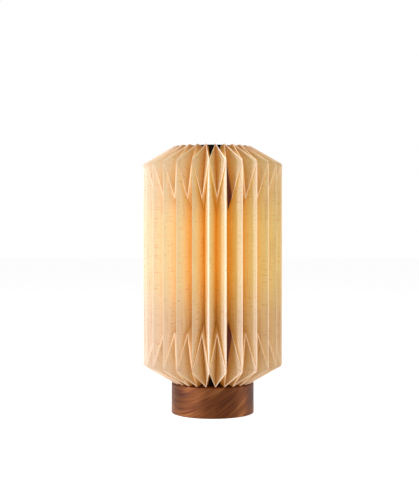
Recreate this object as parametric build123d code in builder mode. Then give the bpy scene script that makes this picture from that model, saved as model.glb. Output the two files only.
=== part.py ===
"""A pleated table lamp: a folded sheet shade that stands over a bulb on a turned wooden drum.

Millimetres, +Z up. The origin is the centre of the pad's underside, where the lamp stands,
and -Y is the front. The shade lifts straight off, and the bulb unscrews from its lampholder.
"""

import os
from math import cos, degrees, hypot, pi, radians, sin, sqrt

from build123d import *

# ---- Driving dimensions -----------------------------------------------------------------

# The folded sheet. Every pleat is a ridge on the outside and a valley on the inside.
pleats = 27
ridge_radius = 100.0  # outermost fold lines, on the straight part
valley_radius = 69.5  # innermost fold lines, on the straight part
shoulder_span = 286.0  # height from the lower shoulder to the upper one
dart_height = 70.0  # how far from the shoulder the dart in each valley begins
dart_lip = 27.0  # length of the valley that folds back outwards in the dart
tip_length = 84.0  # length of the leaning valley from the dart's tip to the pleat's tip
inner_end = 19.0  # length of the sheet past the pleat's tip, towards the collar
sheet_thickness = 0.6
first_ridge_angle = -92.95  # degrees about Z of the ridge nearest the front
seam_ridge = 1  # the ridge, counted from the first, that has the glued overlap beside it
seam_thickness = 0.4
seam_inset = 4.5  # bare strip between the overlap's edge and the folds

# The two moulded collars that the sheet's inner ends are glued to.
collar_wall = 1.6
collar_overlap = 2.0  # how far a collar reaches past the sheet's ends, inside the shade

# The wooden drum and what closes it.
drum_radius = 59.0
drum_top = 43.0  # height of the drum's top face
drum_roof = 12.0  # wood left above the cavity
drum_wall = 14.5
drum_top_round = 1.2
drum_bottom_round = 0.9
pad_thickness = 1.5
pad_proud = 0.4  # how far the pad stands out under the wood
cover_radius = 51.0
cover_thickness = 2.0
pad_margin = 0.8  # the pad is this much smaller than the cover, all round

# Cover screws: countersunk wood screws.
cover_screw_count = 3
cover_screw_circle = 47.7  # radius of their circle
cover_screw_first_angle = 30.0
cover_screw_radius = 1.5
cover_screw_head_radius = 2.9
cover_screw_length = 12.0
pilot_depth = 13.0

# The lead's inlet at the back.
inlet_height = 11.5
inlet_bore_radius = 3.2
grommet_wall = 1.4
grommet_flange_radius = 6.4
grommet_flange_thickness = 1.3
grommet_sunk = 0.5  # the flange's face lies this far inside the drum's surface

# The stem: M10 tube, with its nut and washers.
stem_radius = 5.0
stem_bore_radius = 3.75
ballast_thickness = 10.0
washer_radius = 10.0
washer_thickness = 1.6
nut_across_flats = 14.0
nut_thickness = 5.0
stem_below_nut = 2.0
sleeve_radius = 8.0
sleeve_length = 50.0
sleeve_foot_radius = 11.0
sleeve_foot_thickness = 2.0
lock_washer_radius = 8.6
lock_washer_thickness = 0.8
lock_washer_teeth = 10

# The cup on the drum that the shade's lower collar drops over.
seat_radius = 31.0
seat_floor = 1.5
seat_wall = 1.5
seat_height = 10.0

# Lampholder, E27 size. Heights are counted from its foot.
holder_neck_radius = 9.5
holder_radius = 19.8
holder_wall = 1.8
holder_flare_height = 9.0
holder_neck_height = 4.5
holder_floor = 2.0
holder_joint_height = 17.0  # where the shell meets the cap
holder_height = 52.0
holder_lip_radius = 15.2
holder_thread_overlap = 6.0
core_radius = 15.5
core_low = 12.0
core_high = 24.0
thread_pitch = 3.629
thread_turns = 6
socket_thread_radius = 13.7
thread_depth = 0.8
thread_wall = 0.4
contact_width = 5.0
contact_thickness = 0.5
contact_rise = 3.4
grub_screw_radius = 1.5
terminal_spacing = 9.0
terminal_screw_radius = 1.5
terminal_head_radius = 2.8
terminal_head_thickness = 1.8
terminal_screw_depth = 7.0
terminal_screw_length = 6.0
contact_slot = 3.0  # width of the slots in the core that the contacts' tails pass through
thread_floor_bore = 8.0  # radius of the hole in the floor of the brass thread
contact_bend = 1.5
contact_tip = 1.0
side_contact_inset = 4.0  # from the thread to the middle of the side contact

# The bulb, 60 mm pear form. Heights are counted from its foot contact.
bulb_radius = 30.0
bulb_length = 106.0
bulb_cap_radius = 13.1
bulb_cap_root_radius = 12.3
bulb_cap_wall = 0.7
bulb_cap_turns = 4
bulb_cap_height = 26.0
bulb_foot_radius = 4.6
bulb_foot_thickness = 1.5
bulb_insulator_height = 4.5
bulb_insulator_radius = 11.4
bulb_insulator_rim = 1.5  # width of black glass showing round the foot contact
bulb_cap_collar = 2.0  # height of the plain band over the cap's thread
bulb_neck_radius = 13.4
bulb_glass_wall = 1.0
filament_radius = 0.9
filament_circle = 9.0
filament_low = 46.0
filament_high = 84.0
filament_count = 4
support_wire_radius = 0.4
stem_rod_radius = 1.4
stem_rod_over = 1.0  # how far the glass rod stands over the filaments
stem_flare_rim = 1.0
stem_flare_height = 8.0
stem_flare_neck = 3.0  # radius where the flare becomes the pinched neck
stem_neck_gap = 4.0  # the pinched neck ends this far under the filaments
support_wire_inset = 2.0  # from a filament's end to its wire

# Clearances.
seat_gap = 0.3  # the resting shade's gap over the drum
thread_fit = 0.05  # radial, between the tube or a screw and what it is screwed into
slip_fit = 0.2  # radial, where a piece only passes through
glue_gap = 0.1  # film of glue between the sheet and what is stuck to it
contact_gap = 0.3  # between the bulb's foot and the contact under it


# ---- The fold ---------------------------------------------------------------------------
#
# A point of the folded sheet lies either in a plane through a ridge or in one through a valley,
# and is given by its radius and its height over the shoulder. The sheet doesn't stretch, so
# distances between points are those of the flat sheet: each new point is where two circles meet.

half_pitch = pi / pleats


def in_next_plane(point, length):
    """The circle, in the neighbouring plane, of what lies at this length from the point."""
    radius, height = point
    reach = sqrt(length**2 - (radius * sin(half_pitch)) ** 2)
    return (radius * cos(half_pitch), height), reach


def meet(circle_a, circle_b, choose):
    """Where two circles (centre, radius) cross: the crossing with the least or greatest radius."""
    (ar, az), reach_a = circle_a
    (br, bz), reach_b = circle_b
    apart = hypot(br - ar, bz - az)
    along = (reach_a**2 - reach_b**2 + apart**2) / (2 * apart)
    aside = sqrt(reach_a**2 - along**2)
    ur, uz = (br - ar) / apart, (bz - az) / apart
    crossings = [(ar + along * ur - s * aside * uz, az + along * uz + s * aside * ur) for s in (1, -1)]
    return choose(crossings, key=lambda crossing: crossing[0])


def folded_profile():
    """Radius and height, over the shoulder, of each corner of the folded sheet's outer face."""
    shoulder = (ridge_radius, 0.0)
    dart_foot = (valley_radius, -dart_height)
    panel = sqrt(
        ridge_radius**2 + valley_radius**2 - 2 * ridge_radius * valley_radius * cos(half_pitch)
    )
    flat_tip = tip_length - (dart_height - dart_lip)
    dart_tip = meet(
        (dart_foot, dart_lip),
        in_next_plane(shoulder, hypot(panel, dart_height - dart_lip)),
        max,
    )
    pleat_tip = meet(
        (dart_tip, tip_length),
        in_next_plane(shoulder, hypot(panel, flat_tip)),
        min,
    )
    ridge_end = meet(
        (shoulder, flat_tip + inner_end),
        in_next_plane(pleat_tip, hypot(panel, inner_end)),
        min,
    )
    valley_end = meet((pleat_tip, inner_end), in_next_plane(ridge_end, panel), min)
    return {
        "shoulder": shoulder,
        "ridge_end": ridge_end,
        "dart_foot": dart_foot,
        "dart_tip": dart_tip,
        "pleat_tip": pleat_tip,
        "valley_end": valley_end,
    }


profile = folded_profile()
ridge_corners = ("shoulder", "ridge_end")

# Each panel's crown, as triangles that wind the same way round. "below" is a point further down
# the same ridge, so that the first one lies in the plane of the panel's straight part.
panel_triangles = (
    ("below", "shoulder", "dart_foot"),
    ("shoulder", "dart_tip", "dart_foot"),
    ("shoulder", "pleat_tip", "dart_tip"),
    ("shoulder", "ridge_end", "pleat_tip"),
    ("ridge_end", "valley_end", "pleat_tip"),
)


def in_space(name):
    """A corner in space, with its ridge in the plane y = 0."""
    if name == "below":
        return Vector(ridge_radius, 0, -shoulder_span)
    radius, height = profile[name]
    if name in ridge_corners:
        return Vector(radius, 0, height)
    return Vector(radius * cos(half_pitch), radius * sin(half_pitch), height)


def inward_normal(triangle):
    """Unit normal of a crown triangle, pointing to the inside of the shade."""
    a, b, c = (in_space(name) for name in triangle)
    return (b - a).cross(c - a).normalized()


def inner_corner(name):
    """The corner on the sheet's inner face: the point nearest to one thickness from each face."""
    turn = 0 if name in ridge_corners else half_pitch
    rr = rz = zz = to_r = to_z = 0.0
    for triangle in panel_triangles:
        if name not in triangle:
            continue
        normal = inward_normal(triangle)
        along_r = normal.X * cos(turn) + normal.Y * sin(turn)
        rr += along_r**2
        rz += along_r * normal.Z
        zz += normal.Z**2
        to_r += along_r * sheet_thickness
        to_z += normal.Z * sheet_thickness
    slack = 0.002  # settles the direction that a lone face leaves open
    spread = (rr + slack) * (zz + slack) - rz**2
    shift_r = (to_r * (zz + slack) - rz * to_z) / spread
    shift_z = ((rr + slack) * to_z - rz * to_r) / spread
    radius, height = profile[name]
    return radius + shift_r, height + shift_z


inner_profile = {name: inner_corner(name) for name in profile}

pleat_rise = profile["pleat_tip"][1]
shoulder_low = drum_top + seat_gap + pleat_rise
shoulder_high = shoulder_low + shoulder_span
shade_bottom = shoulder_low - pleat_rise
shade_top = shoulder_high + pleat_rise


def corner(corners, name, upper, angle):
    """A corner of the sheet in the lamp's frame, at the upper or the lower end."""
    radius, height = corners[name]
    z = shoulder_high + height if upper else shoulder_low - height
    return (radius * cos(angle), radius * sin(angle), z)


def polygon(points):
    """A flat face through three or four points."""
    return Face(Wire.make_polygon([Vector(*point) for point in points], close=True))


def panel_faces(ridge_angle, valley_angle):
    """Both faces and both end strips of one panel, from its ridge to its valley."""
    faces = []
    for corners in (profile, inner_profile):

        def at(name, upper):
            return corner(corners, name, upper, ridge_angle if name in ridge_corners else valley_angle)

        faces.append(
            polygon(
                [at("shoulder", False), at("shoulder", True), at("dart_foot", True), at("dart_foot", False)]
            )
        )
        for upper in (False, True):
            for triangle in panel_triangles[1:]:
                faces.append(polygon([at(name, upper) for name in triangle]))
    for upper in (False, True):
        outer_ridge = corner(profile, "ridge_end", upper, ridge_angle)
        outer_valley = corner(profile, "valley_end", upper, valley_angle)
        inner_ridge = corner(inner_profile, "ridge_end", upper, ridge_angle)
        inner_valley = corner(inner_profile, "valley_end", upper, valley_angle)
        faces.append(polygon([outer_ridge, outer_valley, inner_valley]))
        faces.append(polygon([outer_ridge, inner_valley, inner_ridge]))
    return faces


def ridge_angle(index):
    """Angle about Z of a ridge, in radians, counted from the one nearest the front."""
    return radians(first_ridge_angle) + 2 * half_pitch * index


# ---- Shade ------------------------------------------------------------------------------

sheet_faces = []
for pleat in range(pleats):
    for side in (-1, 1):
        sheet_faces += panel_faces(ridge_angle(pleat), ridge_angle(pleat) + side * half_pitch)

with BuildPart() as pleated_sheet:
    add(Solid(Shell(sheet_faces)))

# The overlap where the sheet's two ends are glued, on the inside of the panel beside one ridge.
seam_ridge_line = Vector(*corner(inner_profile, "shoulder", True, ridge_angle(seam_ridge)))
seam_valley_line = Vector(*corner(inner_profile, "dart_foot", True, ridge_angle(seam_ridge) + half_pitch))
seam_middle = (seam_ridge_line + seam_valley_line) * 0.5
seam_across = Vector(seam_valley_line.X - seam_ridge_line.X, seam_valley_line.Y - seam_ridge_line.Y, 0)
seam_width = seam_across.length - 2 * seam_inset
seam_plane = Plane(
    origin=(seam_middle.X, seam_middle.Y, (shoulder_low + shoulder_high) / 2),
    x_dir=seam_across,
    z_dir=Vector(0, 0, 1).cross(seam_across),
)
dart_slope = (inner_profile["shoulder"][1] - inner_profile["dart_foot"][1]) / seam_across.length
seam_ridge_half = shoulder_span / 2 + inner_profile["shoulder"][1] - (1 + dart_slope) * seam_inset
seam_valley_half = seam_ridge_half - dart_slope * seam_width

with BuildPart() as seam_strip:
    with BuildSketch(seam_plane.offset(glue_gap)):
        with BuildLine():
            Polyline(
                (-seam_width / 2, -seam_ridge_half),
                (seam_width / 2, -seam_valley_half),
                (seam_width / 2, seam_valley_half),
                (-seam_width / 2, seam_ridge_half),
                close=True,
            )
        make_face()
    extrude(amount=seam_thickness)

# A collar's drafted wall lies along the sheet's inner ends, from its rim to just past them.
end_radius, end_rise = profile["valley_end"]
foot_end_radius, end_drop = inner_profile["ridge_end"]
draft = (foot_end_radius - end_radius) / (end_rise - end_drop)
end_bow = foot_end_radius * (1 - cos(half_pitch / 2))  # how far a straight end cuts inside its circle
collar_drop = end_drop - collar_overlap


def collar_outer(height):
    """Outer radius of a collar at a height over the shoulder."""
    return end_radius + (end_rise - height) * draft - end_bow - glue_gap


def collar_section(shoulder, up):
    """The half section of a collar, as points in the XZ plane."""
    rim_radius, foot_radius = collar_outer(pleat_rise), collar_outer(collar_drop)
    rim, foot = shoulder + up * pleat_rise, shoulder + up * collar_drop
    return [
        (rim_radius, rim),
        (foot_radius, foot),
        (foot_radius - collar_wall, foot),
        (rim_radius - collar_wall, rim),
    ]


with BuildPart() as top_collar:
    with BuildSketch(Plane.XZ):
        with BuildLine():
            Polyline(*collar_section(shoulder_high, 1), close=True)
        make_face()
    revolve(axis=Axis.Z)

with BuildPart() as bottom_collar:
    with BuildSketch(Plane.XZ):
        with BuildLine():
            Polyline(*collar_section(shoulder_low, -1), close=True)
        make_face()
    revolve(axis=Axis.Z)

# ---- Base -------------------------------------------------------------------------------

drum_bottom = pad_proud
cover_low = pad_thickness
cover_high = cover_low + cover_thickness
cavity_radius = drum_radius - drum_wall
cavity_roof = drum_top - drum_roof
grommet_radius = inlet_bore_radius + grommet_wall
grommet_face = drum_radius - grommet_sunk
grommet_shoulder = grommet_face - grommet_flange_thickness
screw_spots = PolarLocations(cover_screw_circle, cover_screw_count, cover_screw_first_angle)

with BuildPart() as base_drum:
    with BuildSketch(Plane.XY.offset(drum_bottom)):
        Circle(drum_radius)
    extrude(amount=drum_top - drum_bottom)
    fillet(base_drum.edges().group_by(Axis.Z)[-1], drum_top_round)
    fillet(base_drum.edges().group_by(Axis.Z)[0], drum_bottom_round)
    with BuildSketch(Plane.XY.offset(drum_bottom)):
        Circle(cover_radius + slip_fit)
    extrude(amount=cover_high - drum_bottom, mode=Mode.SUBTRACT)
    with BuildSketch(Plane.XY.offset(cover_high)):
        Circle(cavity_radius)
    extrude(amount=cavity_roof - cover_high, mode=Mode.SUBTRACT)
    with BuildSketch(Plane.XY.offset(cavity_roof)):
        Circle(stem_radius + slip_fit)
    extrude(amount=drum_roof, mode=Mode.SUBTRACT)
    with BuildSketch(Plane.XY.offset(cover_high)):
        with screw_spots:
            Circle(cover_screw_radius + thread_fit)
    extrude(amount=pilot_depth, mode=Mode.SUBTRACT)
    with BuildSketch(Plane.XZ.offset(-drum_radius)):
        with Locations((0, inlet_height)):
            Circle(grommet_radius + slip_fit)
    extrude(amount=drum_wall + slip_fit, mode=Mode.SUBTRACT)
    with BuildSketch(Plane.XZ.offset(-drum_radius)):
        with Locations((0, inlet_height)):
            Circle(grommet_flange_radius + slip_fit)
    extrude(amount=drum_radius - grommet_shoulder, mode=Mode.SUBTRACT)

with BuildPart() as base_pad:
    with BuildSketch():
        Circle(cover_radius - pad_margin)
    extrude(amount=pad_thickness)

with BuildPart() as bottom_cover:
    with BuildSketch(Plane.XY.offset(cover_low)):
        Circle(cover_radius)
    extrude(amount=cover_thickness)
    with Locations(Plane.XY.offset(cover_low).rotated((180, 0, 0))):
        with PolarLocations(cover_screw_circle, cover_screw_count, -cover_screw_first_angle):
            CounterSinkHole(cover_screw_radius + slip_fit, cover_screw_head_radius + slip_fit)

head_height = cover_screw_head_radius - cover_screw_radius
with BuildPart() as cover_screws:
    with screw_spots:
        with Locations((0, 0, cover_low + head_height / 2)):
            Cone(cover_screw_head_radius, cover_screw_radius, head_height)
        with Locations((0, 0, cover_low + cover_screw_length / 2)):
            Cylinder(cover_screw_radius, cover_screw_length)

with BuildPart() as cord_grommet:
    with BuildSketch(Plane.XZ.offset(-cavity_radius)):
        with Locations((0, inlet_height)):
            Circle(grommet_radius)
    extrude(amount=cavity_radius - grommet_shoulder)
    with BuildSketch(Plane.XZ.offset(-grommet_shoulder)):
        with Locations((0, inlet_height)):
            Circle(grommet_flange_radius)
    extrude(amount=grommet_shoulder - grommet_face)
    with BuildSketch(Plane.XZ.offset(-cavity_radius)):
        with Locations((0, inlet_height)):
            Circle(inlet_bore_radius)
    extrude(amount=cavity_radius - grommet_face, mode=Mode.SUBTRACT)

ballast_low = cavity_roof - ballast_thickness
with BuildPart() as ballast_disc:
    with BuildSketch(Plane.XY.offset(ballast_low)):
        Circle(cavity_radius - 2 * slip_fit)
        Circle(stem_radius + slip_fit, mode=Mode.SUBTRACT)
    extrude(amount=ballast_thickness)
    chamfer(ballast_disc.faces().sort_by(Axis.Z)[0].outer_wire().edges(), 1.0)

washer_low = ballast_low - washer_thickness
with BuildPart() as stem_washer:
    with BuildSketch(Plane.XY.offset(washer_low)):
        Circle(washer_radius)
        Circle(stem_radius + slip_fit, mode=Mode.SUBTRACT)
    extrude(amount=washer_thickness)

nut_low = washer_low - nut_thickness
with BuildPart() as stem_nut:
    with BuildSketch(Plane.XY.offset(nut_low)):
        RegularPolygon(nut_across_flats / 2, 6, major_radius=False)
        Circle(stem_radius + thread_fit, mode=Mode.SUBTRACT)
    extrude(amount=nut_thickness)

# ---- Seat and stem ----------------------------------------------------------------------

seat_floor_top = drum_top + seat_floor
with BuildPart() as shade_seat:
    with BuildSketch(Plane.XY.offset(drum_top)):
        Circle(seat_radius)
    extrude(amount=seat_height)
    with BuildSketch(Plane.XY.offset(seat_floor_top)):
        Circle(seat_radius - seat_wall)
    extrude(amount=seat_height, mode=Mode.SUBTRACT)
    with BuildSketch(Plane.XY.offset(drum_top)):
        Circle(stem_radius + slip_fit)
    extrude(amount=seat_floor, mode=Mode.SUBTRACT)
    fillet(shade_seat.edges().group_by(Axis.Z)[-1], seat_wall / 3)

sleeve_top = seat_floor_top + sleeve_length
with BuildPart() as stem_sleeve:
    with BuildSketch(Plane.XY.offset(seat_floor_top)):
        Circle(sleeve_radius)
    extrude(amount=sleeve_length)
    with BuildSketch(Plane.XY.offset(seat_floor_top)):
        Circle(sleeve_foot_radius)
    extrude(amount=sleeve_foot_thickness)
    with BuildSketch(Plane.XY.offset(seat_floor_top)):
        Circle(stem_radius + slip_fit)
    extrude(amount=sleeve_length, mode=Mode.SUBTRACT)
    foot_rim = stem_sleeve.edges().filter_by(GeomType.CIRCLE).sort_by(SortBy.RADIUS)[-2:].sort_by(Axis.Z)[-1]
    chamfer(foot_rim, sleeve_foot_thickness / 3)

holder_foot = sleeve_top + lock_washer_thickness
with BuildPart() as lock_washer:
    with BuildSketch(Plane.XY.offset(sleeve_top)):
        Circle(lock_washer_radius)
        Circle(stem_radius + slip_fit, mode=Mode.SUBTRACT)
        with PolarLocations(lock_washer_radius, lock_washer_teeth):
            Rectangle(2 * lock_washer_thickness, 2 * lock_washer_thickness, mode=Mode.SUBTRACT)
    extrude(amount=lock_washer_thickness)

stem_top = holder_foot + holder_neck_height
stem_low = nut_low - stem_below_nut
with BuildPart() as stem_tube:
    with BuildSketch(Plane.XY.offset(stem_low)):
        Circle(stem_radius)
        Circle(stem_bore_radius, mode=Mode.SUBTRACT)
    extrude(amount=stem_top - stem_low)

# ---- Lampholder -------------------------------------------------------------------------

flare_top = holder_foot + holder_flare_height
joint = holder_foot + holder_joint_height
cap_top = joint + holder_thread_overlap
spigot_radius = holder_radius - holder_wall - slip_fit
spigot_bore = core_radius + slip_fit
floor_top = holder_foot + holder_neck_height
core_foot = holder_foot + core_low
core_top = holder_foot + core_high

with BuildPart() as lampholder_cap:
    with BuildSketch(Plane.XZ):
        with BuildLine():
            Line((stem_radius + thread_fit, holder_foot), (holder_neck_radius, holder_foot))
            Line((holder_neck_radius, holder_foot), (holder_neck_radius, holder_foot + holder_floor))
            Spline(
                (holder_neck_radius, holder_foot + holder_floor),
                (holder_radius, flare_top),
                tangents=((1, 0.25), (0, 1)),
            )
            Polyline(
                (holder_radius, flare_top),
                (holder_radius, joint),
                (spigot_radius, joint),
                (spigot_radius, cap_top),
                (spigot_bore, cap_top),
                (spigot_bore, core_foot),
                (core_radius - holder_wall, core_foot),
                (core_radius - holder_wall, flare_top),
                (holder_neck_radius, floor_top),
                (stem_radius + thread_fit, floor_top),
                (stem_radius + thread_fit, holder_foot),
            )
        make_face()
    revolve(axis=Axis.Z)
    with BuildSketch(Plane.YZ):
        with Locations((0, holder_foot + holder_floor)):
            Circle(grub_screw_radius + thread_fit)
    extrude(amount=holder_radius, mode=Mode.SUBTRACT)

with BuildPart() as lampholder_grub_screw:
    with BuildSketch(Plane.YZ.offset(stem_radius + thread_fit)):
        with Locations((0, holder_foot + holder_floor)):
            Circle(grub_screw_radius)
    extrude(amount=holder_neck_radius - stem_radius)

with BuildPart() as lampholder_core:
    with BuildSketch(Plane.XY.offset(core_foot)):
        Circle(core_radius)
    extrude(amount=core_top - core_foot)
    with BuildSketch(Plane.XY.offset(core_foot)):
        with Locations((-terminal_spacing, 0), (terminal_spacing, 0)):
            Circle(terminal_screw_radius + thread_fit)
    extrude(amount=terminal_screw_depth, mode=Mode.SUBTRACT)
    with BuildSketch(Plane.XY.offset(core_foot)):
        with Locations((0, -terminal_spacing), (0, terminal_spacing)):
            SlotOverall(terminal_spacing, contact_slot)
    extrude(amount=core_top - core_foot, mode=Mode.SUBTRACT)

with BuildPart() as terminal_screws:
    with BuildSketch(Plane.XY.offset(core_foot - terminal_head_thickness)):
        with Locations((-terminal_spacing, 0), (terminal_spacing, 0)):
            Circle(terminal_head_radius)
    extrude(amount=terminal_head_thickness)
    with BuildSketch(Plane.XY.offset(core_foot)):
        with Locations((-terminal_spacing, 0), (terminal_spacing, 0)):
            Circle(terminal_screw_radius)
    extrude(amount=terminal_screw_length)

holder_top = holder_foot + holder_height
with BuildPart() as lampholder_shell:
    with BuildSketch(Plane.XZ):
        with BuildLine():
            Polyline(
                (holder_radius, joint),
                (holder_radius, holder_top - holder_wall),
                (holder_radius - holder_wall, holder_top),
                (holder_lip_radius, holder_top),
                (holder_lip_radius, holder_top - holder_wall),
                (holder_radius - holder_wall, holder_top - 2 * holder_wall),
                (holder_radius - holder_wall, joint),
                close=True,
            )
        make_face()
    revolve(axis=Axis.Z)


def corrugation(root, crest, low, turns):
    """Points of a rounded thread's outline: up from low, one crest to each turn."""
    points = [(root, low)]
    for turn in range(turns):
        points += [
            (crest, low + (turn + 0.5) * thread_pitch),
            (root, low + (turn + 1) * thread_pitch),
        ]
    return points


socket_thread_low = core_top + contact_thickness
socket_root = socket_thread_radius + thread_wall
with BuildPart() as lampholder_thread:
    with BuildSketch(Plane.XZ):
        with BuildLine():
            outer = corrugation(
                socket_root, socket_root + thread_depth, socket_thread_low + thread_wall, thread_turns
            )
            inner = corrugation(
                socket_thread_radius,
                socket_thread_radius + thread_depth,
                socket_thread_low + thread_wall,
                thread_turns,
            )
            Spline(*outer)
            Spline(*inner)
            Line(outer[-1], inner[-1])
            Polyline(
                outer[0],
                (socket_root, socket_thread_low),
                (thread_floor_bore, socket_thread_low),
                (thread_floor_bore, socket_thread_low + thread_wall),
                inner[0],
            )
        make_face()
    revolve(axis=Axis.Z)

contact_top = core_top + contact_thickness + contact_rise
with BuildPart() as centre_contact:
    with BuildSketch(Plane.XZ.offset(-contact_width / 2)):
        with BuildLine():
            Polyline(
                (-contact_width, core_top),
                (contact_width, core_top),
                (contact_width, core_top + contact_thickness),
                (-contact_width + contact_bend, core_top + contact_thickness),
                (contact_bend, contact_top - contact_thickness),
                (contact_width - contact_tip, contact_top - contact_thickness),
                (contact_width - contact_tip, contact_top),
                (contact_tip, contact_top),
                (-contact_width, core_top + contact_thickness),
                close=True,
            )
        make_face()
    extrude(amount=contact_width)

side_contact_middle = socket_thread_radius - side_contact_inset
with BuildPart() as side_contact:
    with BuildSketch(Plane.XY.offset(core_top)):
        with Locations((0, side_contact_middle)):
            Rectangle(contact_width, contact_width)
    extrude(amount=contact_thickness)
    with BuildSketch(Plane.XY.offset(core_foot + contact_thickness)):
        with Locations((0, terminal_spacing)):
            Rectangle(contact_width, contact_thickness)
    extrude(amount=core_top - core_foot)

# ---- Bulb -------------------------------------------------------------------------------

bulb_foot = contact_top + contact_gap
cap_low = bulb_foot + bulb_foot_thickness + bulb_insulator_height
bulb_cap_top = bulb_foot + bulb_cap_height
bulb_thread_top = cap_low + bulb_cap_turns * thread_pitch

with BuildPart() as bulb_contact:
    with BuildSketch(Plane.XY.offset(bulb_foot)):
        Circle(bulb_foot_radius)
    extrude(amount=bulb_foot_thickness)
    fillet(bulb_contact.edges().group_by(Axis.Z)[0], bulb_foot_thickness / 2)

with BuildPart() as bulb_insulator:
    with BuildSketch(Plane.XY.offset(bulb_foot + bulb_foot_thickness)):
        Circle(bulb_foot_radius + bulb_insulator_rim)
    with BuildSketch(Plane.XY.offset(cap_low)):
        Circle(bulb_insulator_radius)
    loft()

with BuildPart() as bulb_cap:
    with BuildSketch(Plane.XZ):
        with BuildLine():
            cap_outline = corrugation(bulb_cap_root_radius, bulb_cap_radius, cap_low, bulb_cap_turns)
            Spline(*cap_outline)
            Polyline(
                cap_outline[-1],
                (bulb_cap_radius, bulb_cap_top - bulb_cap_collar),
                (bulb_cap_radius, bulb_cap_top),
                (bulb_cap_root_radius - bulb_cap_wall, bulb_cap_top),
                (bulb_cap_root_radius - bulb_cap_wall, cap_low),
                cap_outline[0],
            )
        make_face()
    revolve(axis=Axis.Z)

globe_centre = bulb_foot + bulb_length - bulb_radius
globe_join = radians(38)  # below the globe's middle, where the neck's curve begins


def glass_outline(inset):
    """The pear's half outline, drawn in by inset: neck curve, then the globe's arc to the top."""
    radius = bulb_radius - inset
    join = (radius * cos(globe_join), globe_centre - radius * sin(globe_join))
    Spline(
        (bulb_neck_radius - inset, bulb_cap_top),
        join,
        tangents=((0, 1), (sin(globe_join), cos(globe_join))),
    )
    CenterArc((0, globe_centre), radius, -degrees(globe_join), 90 + degrees(globe_join))


with BuildPart() as bulb_glass:
    with BuildSketch(Plane.XZ):
        with BuildLine():
            glass_outline(0)
            glass_outline(bulb_glass_wall)
            Line((bulb_neck_radius, bulb_cap_top), (bulb_neck_radius - bulb_glass_wall, bulb_cap_top))
            Line((0, globe_centre + bulb_radius), (0, globe_centre + bulb_radius - bulb_glass_wall))
        make_face()
    revolve(axis=Axis.Z)

flare_radius = bulb_neck_radius - bulb_glass_wall - slip_fit
with BuildPart() as bulb_stem:
    with BuildSketch(Plane.XZ):
        with BuildLine():
            Polyline(
                (0, bulb_cap_top),
                (flare_radius, bulb_cap_top),
                (flare_radius, bulb_cap_top + stem_flare_rim),
                (stem_flare_neck, bulb_cap_top + stem_flare_height),
                (stem_rod_radius, bulb_foot + filament_low - stem_neck_gap),
                (stem_rod_radius, bulb_foot + filament_high + stem_rod_over),
                (0, bulb_foot + filament_high + stem_rod_over),
                close=True,
            )
        make_face()
    revolve(axis=Axis.Z)

with BuildPart() as bulb_filaments:
    with PolarLocations(filament_circle, filament_count):
        with Locations((0, 0, bulb_foot + (filament_low + filament_high) / 2)):
            Cylinder(filament_radius, filament_high - filament_low)

wire_length = filament_circle - filament_radius - stem_rod_radius
with BuildPart() as filament_wires:
    for level in (filament_low + support_wire_inset, filament_high - support_wire_inset):
        for spoke in range(filament_count):
            turned = Rotation(0, 0, 360 * spoke / filament_count)
            middle = stem_rod_radius + wire_length / 2
            placed = turned * Pos(middle, 0, bulb_foot + level) * Rotation(0, 90, 0)
            with Locations(placed):
                Cylinder(support_wire_radius, wire_length)

# ---- Files ------------------------------------------------------------------------------

nodes = {
    "pleated_sheet": pleated_sheet,
    "seam_strip": seam_strip,
    "top_collar": top_collar,
    "bottom_collar": bottom_collar,
    "base_drum": base_drum,
    "base_pad": base_pad,
    "bottom_cover": bottom_cover,
    "cover_screws": cover_screws,
    "cord_grommet": cord_grommet,
    "ballast_disc": ballast_disc,
    "stem_washer": stem_washer,
    "stem_nut": stem_nut,
    "shade_seat": shade_seat,
    "stem_sleeve": stem_sleeve,
    "lock_washer": lock_washer,
    "stem_tube": stem_tube,
    "lampholder_cap": lampholder_cap,
    "lampholder_grub_screw": lampholder_grub_screw,
    "lampholder_core": lampholder_core,
    "terminal_screws": terminal_screws,
    "lampholder_shell": lampholder_shell,
    "lampholder_thread": lampholder_thread,
    "centre_contact": centre_contact,
    "side_contact": side_contact,
    "bulb_contact": bulb_contact,
    "bulb_insulator": bulb_insulator,
    "bulb_cap": bulb_cap,
    "bulb_glass": bulb_glass,
    "bulb_stem": bulb_stem,
    "bulb_filaments": bulb_filaments,
    "filament_wires": filament_wires,
}

os.makedirs("parts", exist_ok=True)
for name, piece in nodes.items():
    piece.part.label = name
    export_step(piece.part, f"parts/{name}.step")

print("shoulders at", round(shoulder_low, 2), round(shoulder_high, 2), "top", round(shade_top, 2))
print("outer corners", {k: (round(r, 2), round(z, 2)) for k, (r, z) in profile.items()})
print("inner corners", {k: (round(r, 2), round(z, 2)) for k, (r, z) in inner_profile.items()})
print("bulb foot", round(bulb_foot, 2), "bulb top", round(bulb_foot + bulb_length, 2))
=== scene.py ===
"""A pleated paper table lamp, lit from inside, on its turned walnut drum.

Metres, +Z up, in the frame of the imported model. The file follows the lamp as it is put together:
the drum and what closes it, the stem, the lampholder, the bulb, and last the folded shade.
"""

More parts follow.
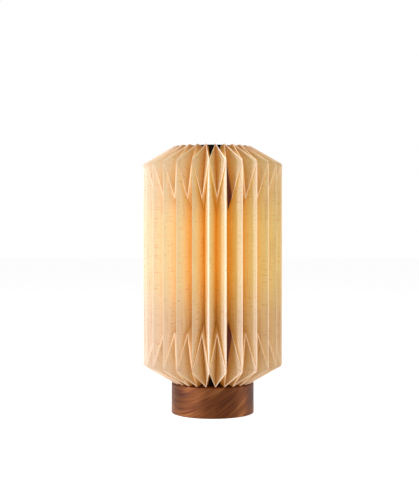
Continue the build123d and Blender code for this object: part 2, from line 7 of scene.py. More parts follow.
import bmesh
import bpy
import numpy as np
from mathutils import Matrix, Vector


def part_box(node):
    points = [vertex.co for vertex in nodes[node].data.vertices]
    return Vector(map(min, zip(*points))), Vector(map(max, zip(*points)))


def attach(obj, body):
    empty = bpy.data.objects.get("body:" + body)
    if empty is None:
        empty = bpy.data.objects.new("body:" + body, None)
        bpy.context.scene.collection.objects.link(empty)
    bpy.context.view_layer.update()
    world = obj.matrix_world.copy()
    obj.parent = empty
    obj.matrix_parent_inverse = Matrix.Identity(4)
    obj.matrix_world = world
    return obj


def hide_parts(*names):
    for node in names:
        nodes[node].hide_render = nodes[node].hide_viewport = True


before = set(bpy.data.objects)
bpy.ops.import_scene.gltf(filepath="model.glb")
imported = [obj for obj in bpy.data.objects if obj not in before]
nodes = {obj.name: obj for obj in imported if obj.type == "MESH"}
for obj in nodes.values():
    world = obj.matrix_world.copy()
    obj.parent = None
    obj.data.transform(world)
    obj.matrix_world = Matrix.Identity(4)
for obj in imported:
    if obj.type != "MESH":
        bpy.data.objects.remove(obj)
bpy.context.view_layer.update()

scene = bpy.context.scene

# ---- Studio ------------------------------------------------------------------------------
# A level camera in front of the lamp, a pale floor that runs off to white, and soft light:
# three panels at the left, one at the right, and weak ones overhead and behind.
# The white backdrop stands behind the lamp, and the room on the camera's side is dim.


def srgb(red, green, blue):
    """A colour given as three numbers up to 255 on a screen, turned into linear light."""
    shown = np.array([red, green, blue]) / 255
    linear = np.where(shown <= 0.04045, shown / 12.92, ((shown + 0.055) / 1.055) ** 2.4)
    return (*linear.tolist(), 1.0)


class Value:
    """A number that changes over a surface. Each operator adds the Math node that works it out."""

    def __init__(self, finish, socket):
        self.finish, self.socket = finish, socket

    def maths(self, operation, *terms):
        return self.finish.node("ShaderNodeMath", {"operation": operation}, dict(enumerate(terms)))

    def __add__(self, other):
        return self.maths("ADD", self, other)

    def __radd__(self, other):
        return self.maths("ADD", other, self)

    def __sub__(self, other):
        return self.maths("SUBTRACT", self, other)

    def __rsub__(self, other):
        return self.maths("SUBTRACT", other, self)

    def __mul__(self, other):
        return self.maths("MULTIPLY", self, other)

    def __rmul__(self, other):
        return self.maths("MULTIPLY", other, self)

    def __truediv__(self, other):
        return self.maths("DIVIDE", self, other)

    def __rtruediv__(self, other):
        return self.maths("DIVIDE", other, self)

    def __abs__(self):
        return self.maths("ABSOLUTE", self)

    def least(self, other):
        return self.maths("MINIMUM", self, other)

    def rise(self, low, high):
        """0 below low and 1 above high, with a soft step between."""
        settings = {"interpolation_type": "SMOOTHSTEP"}
        inputs = {"Value": self, "From Min": low, "From Max": high}
        return self.finish.node("ShaderNodeMapRange", settings, inputs)


class Finish:
    """One material. node() adds a node: its type, its settings, then what its sockets hold."""

    def __init__(self, name):
        self.material = bpy.data.materials.new(name)
        self.material.use_nodes = True
        self.tree = self.material.node_tree
        self.tree.nodes.clear()

    def node(self, kind, settings, inputs, output=0):
        made = self.tree.nodes.new(kind)
        for key, setting in settings.items():
            if key == "stops":
                ramp = made.color_ramp
                while len(ramp.elements) < len(setting):
                    ramp.elements.new(0.5)
                for element, (place, colour) in zip(ramp.elements, setting):
                    element.position, element.color = place, colour
            else:
                setattr(made, key, setting)
        for key, held in inputs.items():
            if isinstance(held, Value):
                self.tree.links.new(held.socket, made.inputs[key])
            else:
                made.inputs[key].default_value = held
        return Value(self, made.outputs[output] if made.outputs else None)

    def place(self):
        """Where a point is on the piece at rest, in metres."""
        return self.node("ShaderNodeTexCoord", {}, {}, "Object")

    def split(self, vector):
        """The X, Y and Z of a vector."""
        x = self.node("ShaderNodeSeparateXYZ", {}, {"Vector": vector})
        return [Value(self, socket) for socket in x.socket.node.outputs]

    def join(self, x, y, z):
        """A vector of three values."""
        return self.node("ShaderNodeCombineXYZ", {}, {"X": x, "Y": y, "Z": z})

    def noise(self, vector, scale, detail=2.0, roughness=0.5):
        """Cloudy noise from 0 to 1, of that many lumps to a metre."""
        inputs = {"Vector": vector, "Scale": scale, "Detail": detail, "Roughness": roughness}
        return self.node("ShaderNodeTexNoise", {}, inputs)

    def blend(self, share, below, above):
        """One colour going over to another as share goes from 0 to 1."""
        settings = {"data_type": "RGBA", "clamp_factor": True}
        factor, first, second, result = 0, 6, 7, 2  # the colour sockets of a Mix node, by number
        held = {factor: share, first: below, second: above}
        return self.node("ShaderNodeMix", settings, held, result)

    def ramp(self, share, stops):
        """A colour picked from stops of (place, colour)."""
        return self.node("ShaderNodeValToRGB", {"stops": stops}, {"Fac": share})

    def bump(self, height, distance, strength=1.0):
        """A normal from a height of 0 to 1 that stands for this many metres."""
        inputs = {"Height": height, "Distance": distance, "Strength": strength}
        return self.node("ShaderNodeBump", {}, inputs)

    def rays(self):
        """1 for a camera ray, for a glossy one and for one through glass, which see the studio."""
        found = self.node("ShaderNodeLightPath", {}, {}).socket.node.outputs
        kinds = ("Is Camera Ray", "Is Glossy Ray", "Is Transmission Ray")
        return [Value(self, found[kind]) for kind in kinds]

    def surface(self, **inputs):
        """Ends the material with one Principled surface, each _ standing for a socket's space."""
        named = {key.replace("_", " "): held for key, held in inputs.items()}
        shader = self.node("ShaderNodeBsdfPrincipled", {}, named)
        self.node("ShaderNodeOutputMaterial", {}, {"Surface": shader})
        return self.material


eye_height = 0.2472
eye_distance = 1.437
eye_aside = -0.0045
view_data = bpy.data.cameras.new("camera")
view_data.lens, view_data.sensor_width = 75.0, 36.0
view_data.clip_start, view_data.clip_end = 0.05, 60.0
camera = bpy.data.objects.new("camera", view_data)
camera.location = (eye_aside, -eye_distance, eye_height)
camera.rotation_euler = (np.pi / 2, 0, 0)
scene.collection.objects.link(camera)
bpy.context.scene.camera = camera
scene.view_settings.view_transform = "Standard"


def lamp_panel(name, place, aim, size, watts, colour=(1.0, 1.0, 1.0)):
    """A square panel of soft light at place, turned to face aim."""
    data = bpy.data.lights.new(name, "AREA")
    data.shape, data.size, data.energy, data.color = "SQUARE", size, watts, colour
    panel = bpy.data.objects.new(name, data)
    toward = np.array(aim) - np.array(place)
    tilt = np.pi / 2 + np.arctan2(toward[2], np.hypot(toward[0], toward[1]))
    panel.rotation_euler = (tilt, 0, np.arctan2(-toward[0], toward[1]))
    panel.location = place
    scene.collection.objects.link(panel)


lamp_middle = (0, 0, 0.2)
cool, warm = (0.95, 1.0, 1.1), (1.0, 0.99, 0.88)
lamp_panel("light_side_left", (-1.96, -0.17, 0.5), lamp_middle, 0.5, 11.0, cool)
lamp_panel("light_left", (-1.85, -0.75, 0.36), lamp_middle, 0.4, 12.5, cool)
lamp_panel("light_near_left", (-1.33, -1.48, 0.34), lamp_middle, 0.3, 10.5)
lamp_panel("light_right", (1.79, 0.0, 0.36), lamp_middle, 0.7, 10.5, warm)
lamp_panel("light_top", (0.0, -0.2, 1.8), lamp_middle, 1.2, 6.0)
lamp_panel("light_back", (0.5, 1.9, 0.9), lamp_middle, 1.2, 5.0)

world = bpy.data.worlds.new("studio")
world.use_nodes = True
world.node_tree.nodes.clear()
scene.world = world
room_level = 0.07
backdrop_in_gloss = 0.6  # how much of the white that the camera sees shows in polish
pure_white = (1, 1, 1, 1)


class Room(Finish):
    """The world's own nodes, made in the same way as a material's."""

    def __init__(self, tree):
        self.tree = tree


room = Room(world.node_tree)
by_camera, by_gloss, by_glass = room.rays()
_, behind, _ = room.split(room.node("ShaderNodeTexCoord", {}, {}, "Generated"))
in_gloss = by_gloss * behind.rise(-0.3, 0.35) * backdrop_in_gloss
in_view = (by_camera + in_gloss + by_glass).least(1.0)
dim = room.node("ShaderNodeBackground", {}, {"Color": pure_white, "Strength": room_level})
bright = room.node("ShaderNodeBackground", {}, {"Color": pure_white, "Strength": 1.0})
backdrop = room.node("ShaderNodeMixShader", {}, {0: in_view, 1: dim, 2: bright})
room.node("ShaderNodeOutputWorld", {}, {"Surface": backdrop})

floor_reach = 12.0
floor_level = -0.0002  # just clear of the pad's underside
floor_white = 0.92  # the strength at which the floor meets the backdrop's white
floor_in_gloss = 0.5
floor_shape = bpy.data.meshes.new("floor")
corners = [(-floor_reach, -floor_reach, floor_level), (floor_reach, -floor_reach, floor_level)]
corners += [(floor_reach, floor_reach, floor_level), (-floor_reach, floor_reach, floor_level)]
floor_shape.from_pydata(corners, [], [(0, 1, 2, 3)])
floor = bpy.data.objects.new("floor", floor_shape)
scene.collection.objects.link(floor)

paint = Finish("floor_paint")
by_camera, by_gloss, by_glass = paint.rays()
in_view = (by_camera + (by_gloss + by_glass) * floor_in_gloss).least(1.0)
matt = paint.node("ShaderNodeBsdfDiffuse", {}, {"Color": (0.82, 0.82, 0.82, 1)})
shown = {"Color": pure_white, "Strength": in_view * floor_white}
glow = paint.node("ShaderNodeEmission", {}, shown)
both = paint.node("ShaderNodeAddShader", {}, {0: matt, 1: glow})
paint.node("ShaderNodeOutputMaterial", {}, {"Surface": both})
floor_shape.materials.append(paint.material)


def dress(names, material):
    """Gives CAD nodes their finish."""
    for name in names:
        held = nodes[name].data.materials
        if held:
            for slot in range(len(held)):
                held[slot] = material
        else:
            held.append(material)


# ---- Wooden drum -------------------------------------------------------------------------
# Turned from one block of walnut, oiled to a satin. The block's growth layers lean through
# the drum, so its side shows streaks that climb to the right and steepen as they go round.

wood = Finish("walnut")
x, y, z = wood.split(wood.place())
layer = z - 0.62 * x - 0.36 * y
along = 0.62 * z + 0.78 * x
wander = wood.noise(wood.join(x, y, z), 9.0, 2.0) * 0.006
layer = layer + wander
across = y * 0.9 - x * 0.2


def grain(through, down, sideways, detail, roughness=0.5):
    """Noise stretched by its lumps to a metre: through the layers, down them and across them."""
    stretched = wood.join(layer * through, along * down, across * sideways)
    return wood.noise(stretched, 1.0, detail, roughness)


rings = grain(120.0, 6.0, 8.0, 4.0, 0.6)
streaks = grain(760.0, 22.0, 30.0, 3.0, 0.6)
clouds = grain(26.0, 12.0, 16.0, 2.0)
pores = grain(1500.0, 70.0, 90.0, 2.0, 0.7).rise(0.63, 0.75)
tone = (rings * 0.28 + streaks * 0.42 + clouds * 0.5 - 0.1).rise(0.2, 0.8)
heartwood = wood.ramp(
    tone,
    [
        (0.0, srgb(52, 20, 8)),
        (0.35, srgb(92, 42, 14)),
        (0.65, srgb(132, 72, 28)),
        (1.0, srgb(194, 130, 74)),
    ],
)
heartwood = wood.blend(pores * 0.55, heartwood, srgb(48, 24, 18))
walnut = wood.surface(
    Base_Color=heartwood,
    Metallic=0.6 - pores * 0.5,
    Roughness=0.36 + pores * 0.3 + (1 - tone) * 0.08,
    Specular_IOR_Level=0.5,
    Normal=wood.bump(streaks * 0.5 - pores, 0.00012, 0.6),
)
dress(["base_drum"], walnut)

# ---- Pad under the drum ------------------------------------------------------------------
# A disc of pressed wool felt, stuck to the cover: short fibres in every direction.

felt = Finish("wool_felt")
spot = felt.place()
fluff = felt.noise(spot, 900.0, 4.0, 0.7)
fibres = felt.noise(spot, 2600.0, 2.0, 0.8)
pad_felt = felt.surface(
    Base_Color=felt.ramp(fluff, [(0.3, srgb(26, 26, 27)), (0.75, srgb(62, 61, 60))]),
    Roughness=0.9 + fibres * 0.08,
    Sheen_Weight=0.4,
    Normal=felt.bump(fluff * 0.6 + fibres * 0.4, 0.0004),
)
dress(["base_pad"], pad_felt)

# ---- Cover, seat and sleeve --------------------------------------------------------------
# Pressed sheet steel and tube with a fine-grained, slightly patchy black powder coat.

powder = Finish("black_powder_coat")
spot = powder.place()
peel = powder.noise(spot, 1700.0, 2.0, 0.6)
patches = powder.noise(spot, 60.0, 3.0)
powder_coat = powder.surface(
    Base_Color=powder.ramp(patches, [(0.3, srgb(21, 21, 22)), (0.8, srgb(38, 37, 37))]),
    Roughness=0.46 + patches * 0.14 + peel * 0.08,
    Normal=powder.bump(peel, 0.00008, 0.7),
)
dress(["bottom_cover", "shade_seat", "stem_sleeve"], powder_coat)

# ---- Screws, nut, washers and tube -------------------------------------------------------
# Zinc-plated steel: a faintly blue, cloudy plate with fine turning lines round each axis.

zinc = Finish("zinc_plate")
spot = zinc.place()
bloom = zinc.noise(spot, 180.0, 3.0, 0.6)
_, _, z = zinc.split(spot)
turning = zinc.noise(zinc.join(0.0, 0.0, z * 6000.0), 1.0, 1.0)
zinc_plate = zinc.surface(
    Base_Color=zinc.ramp(bloom, [(0.3, srgb(176, 178, 180)), (0.7, srgb(208, 207, 198))]),
    Metallic=1.0,
    Roughness=0.28 + bloom * 0.18,
    Normal=zinc.bump(turning, 0.00003, 0.5),
)
fasteners = ["cover_screws", "stem_washer", "stem_nut", "lock_washer", "lampholder_grub_screw"]
dress(fasteners + ["stem_tube"], zinc_plate)

# ---- Ballast -----------------------------------------------------------------------------
# A disc sawn from black bar steel and left oiled: dark mill scale with brighter saw marks.

scale_steel = Finish("oiled_steel")
spot = scale_steel.place()
x, y, z = scale_steel.split(spot)
saw = scale_steel.noise(scale_steel.join(x * 30.0, y * 1400.0, z * 30.0), 1.0, 2.0)
blotch = scale_steel.noise(spot, 90.0, 4.0, 0.65)
oiled_steel = scale_steel.surface(
    Base_Color=scale_steel.ramp(blotch, [(0.35, srgb(66, 64, 66)), (0.7, srgb(122, 120, 122))]),
    Metallic=0.9,
    Roughness=0.35 + saw * 0.2,
    Normal=scale_steel.bump(saw, 0.00005, 0.6),
)
dress(["ballast_disc"], oiled_steel)

# ---- Lead inlet --------------------------------------------------------------------------
# A moulded rubber grommet, with the dull bloom that black rubber gets.

rubber = Finish("black_rubber")
bloom = rubber.noise(rubber.place(), 350.0, 3.0)
black_rubber = rubber.surface(
    Base_Color=rubber.ramp(bloom, [(0.3, srgb(24, 24, 24)), (0.8, srgb(44, 43, 42))]),
    Roughness=0.62 + bloom * 0.16,
    Normal=rubber.bump(bloom, 0.00004),
)
dress(["cord_grommet"], black_rubber)

# ---- Collars and the lampholder's shell --------------------------------------------------
# Moulded black thermoset and nylon: an even black with the fine spark texture of the mould.

moulded = Finish("black_moulding")
spot = moulded.place()
spark = moulded.noise(spot, 2400.0, 2.0, 0.7)
flow = moulded.noise(spot, 40.0, 2.0)
black_moulding = moulded.surface(
    Base_Color=moulded.ramp(flow, [(0.3, srgb(11, 10, 10)), (0.8, srgb(21, 19, 18))]),
    Roughness=0.62 + spark * 0.16,
    Specular_IOR_Level=0.3,
    Normal=moulded.bump(spark, 0.00004, 0.7),
)
dress(["top_collar", "bottom_collar", "lampholder_cap", "lampholder_shell"], black_moulding)

# ---- Lampholder core ---------------------------------------------------------------------
# Glazed porcelain, a warm white with small specks and a glassy skin.

glaze = Finish("porcelain")
spot = glaze.place()
specks = glaze.noise(spot, 1200.0, 1.0).rise(0.72, 0.78)
warmth = glaze.noise(spot, 60.0, 2.0)
body_white = glaze.ramp(warmth, [(0.3, srgb(226, 222, 211)), (0.8, srgb(240, 238, 231))])
porcelain = glaze.surface(
    Base_Color=glaze.blend(specks * 0.5, body_white, srgb(150, 132, 108)),
    Roughness=0.16 + warmth * 0.1,
    Coat_Weight=0.5,
    Coat_Roughness=0.08,
    Normal=glaze.bump(warmth, 0.0001, 0.4),
)
dress(["lampholder_core"], porcelain)

# ---- Brass in the lampholder -------------------------------------------------------------
# Pressed brass strip: the screw shell, both contacts and the terminal screws, a little tarnished.

brass = Finish("pressed_brass")
spot = brass.place()
tarnish = brass.noise(spot, 130.0, 4.0, 0.6)
drawn = brass.noise(spot, 1500.0, 1.0)
pressed_brass = brass.surface(
    Base_Color=brass.ramp(tarnish, [(0.3, srgb(171, 128, 62)), (0.7, srgb(222, 186, 108))]),
    Metallic=1.0,
    Roughness=0.2 + tarnish * 0.2,
    Normal=brass.bump(drawn, 0.00003, 0.5),
)
dress(["lampholder_thread", "centre_contact", "side_contact", "terminal_screws"], pressed_brass)

# ---- Bulb cap ----------------------------------------------------------------------------
# Nickel-plated screw cap on a black glass insulator, with a blob of solder for the foot contact.

plate = Finish("nickel_plate")
spot = plate.place()
haze = plate.noise(spot, 240.0, 3.0, 0.6)
nickel_plate = plate.surface(
    Base_Color=plate.ramp(haze, [(0.3, srgb(196, 190, 180)), (0.8, srgb(222, 218, 208))]),
    Metallic=1.0,
    Roughness=0.2 + haze * 0.16,
    Normal=plate.bump(haze, 0.00003, 0.5),
)
dress(["bulb_cap", "filament_wires"], nickel_plate)

bead = Finish("black_glass")
swirl = bead.noise(bead.place(), 320.0, 3.0)
black_glass = bead.surface(
    Base_Color=bead.ramp(swirl, [(0.3, srgb(14, 14, 18)), (0.8, srgb(34, 32, 40))]),
    Roughness=0.1 + swirl * 0.12,
    Normal=bead.bump(swirl, 0.00005, 0.4),
)
dress(["bulb_insulator"], black_glass)

tin = Finish("solder")
dimple = tin.noise(tin.place(), 620.0, 3.0)
solder = tin.surface(
    Base_Color=tin.ramp(dimple, [(0.3, srgb(150, 150, 152)), (0.8, srgb(206, 206, 204))]),
    Metallic=1.0,
    Roughness=0.26 + dimple * 0.2,
    Normal=tin.bump(dimple, 0.0001),
)
dress(["bulb_contact"], solder)

# ---- Bulb --------------------------------------------------------------------------------
# A pear of frosted glass, lit: brightest level with its filaments and dimmer towards the neck.
# Inside are the glass stem and four yellow filament sticks.

frost = Finish("lit_frosted_glass")
spot = frost.place()
bulb_low, bulb_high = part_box("bulb_glass")
_, _, z = frost.split(spot)
heart = (z - bulb_low[2]) / (bulb_high[2] - bulb_low[2])
heat = heart.rise(0.05, 0.55)
mist = frost.noise(spot, 500.0, 3.0)
lit_glass = frost.surface(
    Base_Color=frost.ramp(mist, [(0.3, srgb(240, 226, 204)), (0.8, srgb(252, 244, 228))]),
    Roughness=0.42 + mist * 0.12,
    Emission_Color=frost.blend(heat, srgb(150, 92, 34), srgb(226, 172, 96)),
    Emission_Strength=0.7,
    Alpha=0.88 + mist * 0.08,
)
dress(["bulb_glass"], lit_glass)

stem = Finish("clear_glass")
strain = stem.noise(stem.place(), 300.0, 2.0)
clear_glass = stem.surface(
    Base_Color=stem.ramp(strain, [(0.3, srgb(236, 240, 238)), (0.8, srgb(250, 251, 250))]),
    Roughness=0.04 + strain * 0.06,
    Alpha=0.4 + strain * 0.1,
)
dress(["bulb_stem"], clear_glass)

stick = Finish("filament_phosphor")
beads = stick.noise(stick.place(), 900.0, 2.0)
filament_phosphor = stick.surface(
    Base_Color=stick.ramp(beads, [(0.3, srgb(236, 176, 60)), (0.8, srgb(252, 214, 110))]),
    Roughness=0.5,
    Emission_Color=stick.ramp(beads, [(0.3, srgb(255, 198, 104)), (0.8, srgb(255, 232, 170))]),
    Emission_Strength=1.4,
)
dress(["bulb_filaments"], filament_phosphor)

# ---- Pleated shade -----------------------------------------------------------------------
# One sheet of linen-faced paper, scored, folded into 27 pleats and closed with a glued overlap.
# At each end the pleats break at a shoulder, fold back out in a dart, and lean in to a collar.

pleats = 27
half_pitch = np.pi / pleats
first_ridge = np.radians(-92.95)
span = 0.286  # between the shoulders, along the ridges
crease_depth = 0.00022  # how far a scored fold is rounded off
crease_width = 0.0007
panel_bow = 0.00028  # how far a panel is out of flat, as a standard deviation
weld_reach = 0.00001  # points nearer than this are one
sharp_fold = np.radians(38)
shade_low, shade_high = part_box("pleated_sheet")
middle = (shade_low[2] + shade_high[2]) / 2

# Each fold line, from mid height up: on the ridge's side and on the valley's side, the radius
# and height over the shoulder of its end on the outer and the inner face, and its height on
# the flat sheet. All in millimetres.
fold_lines = (
    ((100.0, -143.0, 97.57, -143.0, -143.0), (69.5, -143.0, 67.86, -143.0, -143.0)),
    ((100.0, 0.0, 97.57, -1.61, 0.0), (69.5, -70.0, 67.86, -69.3, -70.0)),
    ((100.0, 0.0, 97.57, -1.61, 0.0), (88.97, -51.3, 87.02, -50.9, -43.0)),
    ((100.0, 0.0, 97.57, -1.61, 0.0), (55.7, 25.83, 55.35, 22.41, 41.0)),
    ((40.49, -7.69, 39.28, -10.78, 60.0), (55.7, 25.83, 55.35, 22.41, 41.0)),
    ((40.49, -7.69, 39.28, -10.78, 60.0), (36.81, 23.79, 37.21, 20.07, 60.0)),
)
rows_between = (22, 4, 9, 7, 3)
ridge_radius, valley_radius = fold_lines[0][0][0] / 1000, fold_lines[0][1][0] / 1000
panel_width = np.sqrt(
    ridge_radius**2 + valley_radius**2 - 2 * ridge_radius * valley_radius * np.cos(half_pitch)
)
columns_in_panel = np.array([0.0, 0.022, 0.07, 0.3, 0.6, 0.93, 0.978])


def folded_sheet(face):
    """Points of one face of the sheet as rows by columns, and where each lies on the flat sheet.

    A point between two fold lines k and k + 1 is (1 - f) L_k + f L_(k+1), where each line's
    point is (1 - s) R + s V, with R on the ridge, V on the valley, and s the share of the panel
    crossed. The lower half is the upper one turned over about mid height.
    """
    lines = np.array(fold_lines) / 1000
    first = 0 if face == "outer" else 2
    steps = [np.arange(rows) / rows + line for line, rows in enumerate(rows_between)]
    level = np.append(np.concatenate(steps), len(rows_between))
    line = np.minimum(level.astype(int), len(rows_between) - 1)
    share = (level - line)[:, None]
    ends = (1 - share[..., None]) * lines[line] + share[..., None] * lines[line + 1]
    ends = np.concatenate([ends[:0:-1] * [1, -1, 1, -1, -1], ends])
    half = np.sign(np.arange(len(ends)) - len(level) + 1.5)[:, None]
    panels = np.arange(2 * pleats)
    shares = columns_in_panel[None, :] + 0 * panels[:, None]
    q = np.append((panels[:, None] + shares).ravel(), 2 * pleats)
    ridge = 2 * np.round(q / 2)
    crossed = np.abs(q - ridge)
    valley_angle = first_ridge + half_pitch * (2 * np.floor(q / 2) + 1)
    ridge_angle = first_ridge + half_pitch * ridge
    on_ridge, on_valley = ends[:, 0], ends[:, 1]
    ridge_part = (1 - crossed) * on_ridge[:, first : first + 1]
    valley_part = crossed * on_valley[:, first : first + 1]
    x = ridge_part * np.cos(ridge_angle) + valley_part * np.cos(valley_angle)
    y = ridge_part * np.sin(ridge_angle) + valley_part * np.sin(valley_angle)
    over = slice(first + 1, first + 2)
    shoulder = half * span / 2
    z = middle + (1 - crossed) * on_ridge[:, over] + crossed * on_valley[:, over] + shoulder
    flat_up = (1 - crossed) * on_ridge[:, 4:5] + crossed * on_valley[:, 4:5] + shoulder
    flat_across = q * panel_width + 0 * flat_up
    # a scored fold is a small round, not an edge: the ridge stands back and the valley fills
    from_ridge, from_valley = crossed * panel_width, (1 - crossed) * panel_width
    at_ridge = np.exp(-((from_ridge / crease_width) ** 2))
    at_valley = np.exp(-((from_valley / crease_width) ** 2))
    crease = crease_depth * (at_ridge - at_valley)
    # and no panel is quite flat: each bows to one side by a few tenths of a millimetre
    rng = np.random.default_rng(7)
    own_panel = np.minimum(q.astype(int), 2 * pleats - 1)
    bow = rng.normal(0, panel_bow, 2 * pleats + 1)[own_panel]
    up_the_panel = np.clip(flat_up / (span * 0.62), -1, 1)
    belly = bow * np.sin(np.pi * crossed) * np.cos(up_the_panel * np.pi / 2)
    radius = np.hypot(x, y)
    turn = belly / radius
    inward = 1 - crease / radius
    turned_x = (x * np.cos(turn) - y * np.sin(turn)) * inward
    turned_y = (x * np.sin(turn) + y * np.cos(turn)) * inward
    return np.stack([turned_x, turned_y, z], -1), np.stack([flat_across, flat_up], -1)


def grid_faces(rows, columns, start, flip):
    """Quads of a rows by columns grid whose points are numbered from start."""
    row, column = np.meshgrid(np.arange(rows - 1), np.arange(columns - 1), indexing="ij")
    a = (start + row * columns + column).ravel()
    quad = [a, a + 1, a + columns + 1, a + columns]
    return np.stack(quad[::-1] if flip else quad, -1)


outer_points, outer_flat = folded_sheet("outer")
inner_points, inner_flat = folded_sheet("inner")
rows, columns = outer_points.shape[:2]
count = rows * columns
edge = np.arange(columns - 1)
top, bottom = (rows - 1) * columns + edge, edge
strips = [
    np.stack([top, top + 1, top + 1 + count, top + count], -1),
    np.stack([bottom + 1, bottom, bottom + count, bottom + 1 + count], -1),
]
outside = grid_faces(rows, columns, 0, False)
faces = np.concatenate([outside, grid_faces(rows, columns, count, True), *strips])
points = np.concatenate([outer_points.reshape(-1, 3), inner_points.reshape(-1, 3)])
flat = np.concatenate([outer_flat.reshape(-1, 2), inner_flat.reshape(-1, 2)])

sheet_mesh = bpy.data.meshes.new("folded_shade")
sheet_mesh.from_pydata(points.tolist(), [], faces.tolist())
flat_map = sheet_mesh.uv_layers.new(name="flat_sheet")
corner_points = np.zeros(len(sheet_mesh.loops), dtype=np.int32)
sheet_mesh.loops.foreach_get("vertex_index", corner_points)
flat_map.data.foreach_set("uv", flat[corner_points].astype(np.float32).ravel())
inside = np.zeros(len(faces), dtype=np.int32)
inside[len(outside) : 2 * len(outside)] = 1
sheet_mesh.polygons.foreach_set("material_index", inside)

joined = bmesh.new()
joined.from_mesh(sheet_mesh)
bmesh.ops.remove_doubles(joined, verts=joined.verts, dist=weld_reach)
bmesh.ops.dissolve_degenerate(joined, edges=joined.edges, dist=weld_reach)
joined.to_mesh(sheet_mesh)
joined.free()
sheet_mesh.polygons.foreach_set("use_smooth", np.ones(len(sheet_mesh.polygons), dtype=bool))
sheet_mesh.set_sharp_from_angle(angle=sharp_fold)

folded_shade = bpy.data.objects.new("folded_shade", sheet_mesh)
scene.collection.objects.link(folded_shade)
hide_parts("pleated_sheet")
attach(folded_shade, "shade")


unlit = (0, 0, 0, 1)
# How far up or down the valley each fold from the shoulder ends, from the shoulder's height, on
# the flat sheet: the dart's foot, the dart's tip and the pleat's tip.
dart_foot, dart_tip, pleat_tip = -0.070, -0.043, 0.041


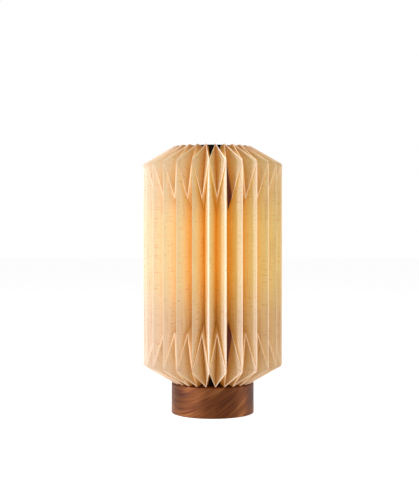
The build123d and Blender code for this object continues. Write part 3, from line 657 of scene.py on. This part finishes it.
def paper(name, inner):
    """Lit linen-faced paper: pale folds from wear and painted highlight, deep valleys from glow
    and painted shade.
    """
    sheet = Finish(name)
    across, up, _ = sheet.split(sheet.node("ShaderNodeUVMap", {"uv_map": "flat_sheet"}, {}))
    u = sheet.node("ShaderNodeMath", {"operation": "PINGPONG"}, {0: across, 1: panel_width})
    w = abs(up) - span / 2

    def from_fold(valley_height):
        """Distance on the flat sheet to the fold from the shoulder to this height in the valley.

        It is the cross product of the point, seen from the shoulder, and the fold's direction.
        """
        length = float(np.hypot(panel_width, valley_height))
        return abs(w * (panel_width / length) - u * (valley_height / length))

    depth = u / panel_width
    # 1 above the fold from the shoulder to the dart's tip, where the sheet leans in to the collar
    crown = (w - depth * dart_tip).rise(-0.0008, 0.0008)
    raised = u.least(from_fold(dart_tip)).least(from_fold(pleat_tip))
    sunk = (panel_width - u).least(from_fold(dart_foot))
    # 1 on the raised folds, where wear and a painted highlight pale the paper
    worn_and_highlit = 1 - raised.rise(0.0004, 0.0022)
    # 1 on the sunk folds, where painted shade darkens the paper
    valley_fold_shade = 1 - sunk.rise(0.0002, 0.0018)

    # the linen face: slubs of thicker thread, across and along the sheet, over a fine plain weave
    weft = sheet.noise(sheet.join(across * 90.0, up * 2100.0, 0.0), 1.0, 2.0, 0.6)
    warp = sheet.noise(sheet.join(across * 1500.0, up * 42.0, 3.0), 1.0, 2.0, 0.6)
    weft_slub = sheet.noise(sheet.join(across * 70.0, up * 640.0, 7.0), 1.0, 1.0).rise(0.58, 0.74)
    warp_slub = sheet.noise(sheet.join(across * 520.0, up * 20.0, 11.0), 1.0, 1.0).rise(0.54, 0.76)
    cloud = sheet.noise(sheet.join(across, up, 0.0), 26.0, 3.0)
    weave = weft * 0.5 + warp * 0.5
    slub = (weft_slub + warp_slub * 0.8).least(1.0)

    # the glued overlap doubles the third panel; painted shade darkens that panel in the dart's
    # narrow facet, which lies between the fold to the dart's foot and the one to its tip, and
    # faintly below the crown
    past_fold = (across - panel_width * 2.05).rise(0.0, 0.0012)
    to_fold = 1 - (across - panel_width * 2.95).rise(0.0, 0.0012)
    panel = past_fold * to_fold
    past_foot = (w + depth * 0.0705).rise(0.0, 0.0015)
    to_tip = 1 - (w + depth * 0.041).rise(0.0, 0.0015)
    facet = past_foot * to_tip
    seam_facet_shade = panel * (facet * 0.8 + (1 - crown) * 0.2)

    deep = depth.rise(0.08, 0.95)
    cream = sheet.ramp(cloud, [(0.3, srgb(231, 226, 225)), (0.75, srgb(240, 236, 236))])
    # painted shade: the base colour deepens to a warm tan towards each valley
    cream = sheet.blend(deep, cream, srgb(230, 202, 152))
    cream = sheet.blend(weave.rise(0.3, 0.7) * 0.35, cream, srgb(204, 176, 158))
    cream = sheet.blend(slub * 0.33, cream, srgb(150, 112, 84))
    # paler along the raised folds: partly wear, partly a painted highlight
    cream = sheet.blend(worn_and_highlit * 0.95, cream, srgb(255, 246, 242))
    # painted shade: darker brown along the sunk valley folds
    cream = sheet.blend(valley_fold_shade * 0.45, cream, srgb(150, 92, 44))
    # painted shade: dark brown over the overlap panel's dart facet
    cream = sheet.blend(seam_facet_shade * 0.95, cream, srgb(84, 42, 24))

    # the bulb's light through the paper: fullest at the bulb, and redder in the valleys
    above, below = up.rise(0.05, 0.11), (0 - up).rise(0.0, 0.09)
    threads = (1 - slub * 0.16) * (0.84 + weave * 0.32)
    at_ridge = (1 - above * 0.18 - below * 0.34) * threads
    at_valley = (1 - above * 0.5 - below * 0.68) * threads
    if inner:
        far_glow, ridge_glow = srgb(120, 74, 26), srgb(168, 118, 46)
        valley_glow = srgb(178, 126, 52)
    else:
        far_glow, ridge_glow = srgb(132, 90, 14), srgb(158, 130, 14)
        valley_glow = srgb(148, 90, 4)
    lit = sheet.ramp(at_ridge, [(0.0, unlit), (0.55, far_glow), (1.0, ridge_glow)])
    lit = sheet.blend(deep, lit, sheet.blend(at_valley, unlit, valley_glow))
    # painted highlight: the glow paler along the raised folds
    lit = sheet.blend(worn_and_highlit * 0.6, lit, srgb(172, 144, 114))
    # painted shade: the glow dimmed to dark red in the same facet
    lit = sheet.blend(panel * facet, lit, srgb(66, 26, 26))
    made = sheet.surface(
        Base_Color=cream,
        Roughness=0.86,
        Specular_IOR_Level=0.2,
        Emission_Color=lit,
        Emission_Strength=1.0,
        Normal=sheet.bump(weave * 0.7 + slub * 0.3, 0.00016, 0.6),
    )
    made.cycles.emission_sampling = "NONE"
    return made


sheet_mesh.materials.append(paper("shade_paper_outside", False))
sheet_mesh.materials.append(paper("shade_paper_inside", True))

# ---- Glued overlap -----------------------------------------------------------------------
# The sheet's own end, lapped behind the panel beside one ridge: the same paper, without a map.

lap = Finish("overlap_paper")
x, y, z = lap.split(lap.place())
thread = lap.noise(lap.join(x * 90.0, y * 90.0, z * 2100.0), 1.0, 2.0, 0.6)
lap_glow = 1 - abs(z - middle).rise(0.055, 0.185) * 0.7
overlap_paper = lap.surface(
    Base_Color=lap.ramp(thread, [(0.3, srgb(224, 190, 150)), (0.75, srgb(244, 222, 190))]),
    Roughness=0.86,
    Emission_Color=lap.blend(lap_glow, unlit, srgb(236, 170, 84)),
    Emission_Strength=0.6,
    Normal=lap.bump(thread, 0.00016, 0.6),
)
overlap_paper.cycles.emission_sampling = "NONE"
dress(["seam_strip"], overlap_paper)
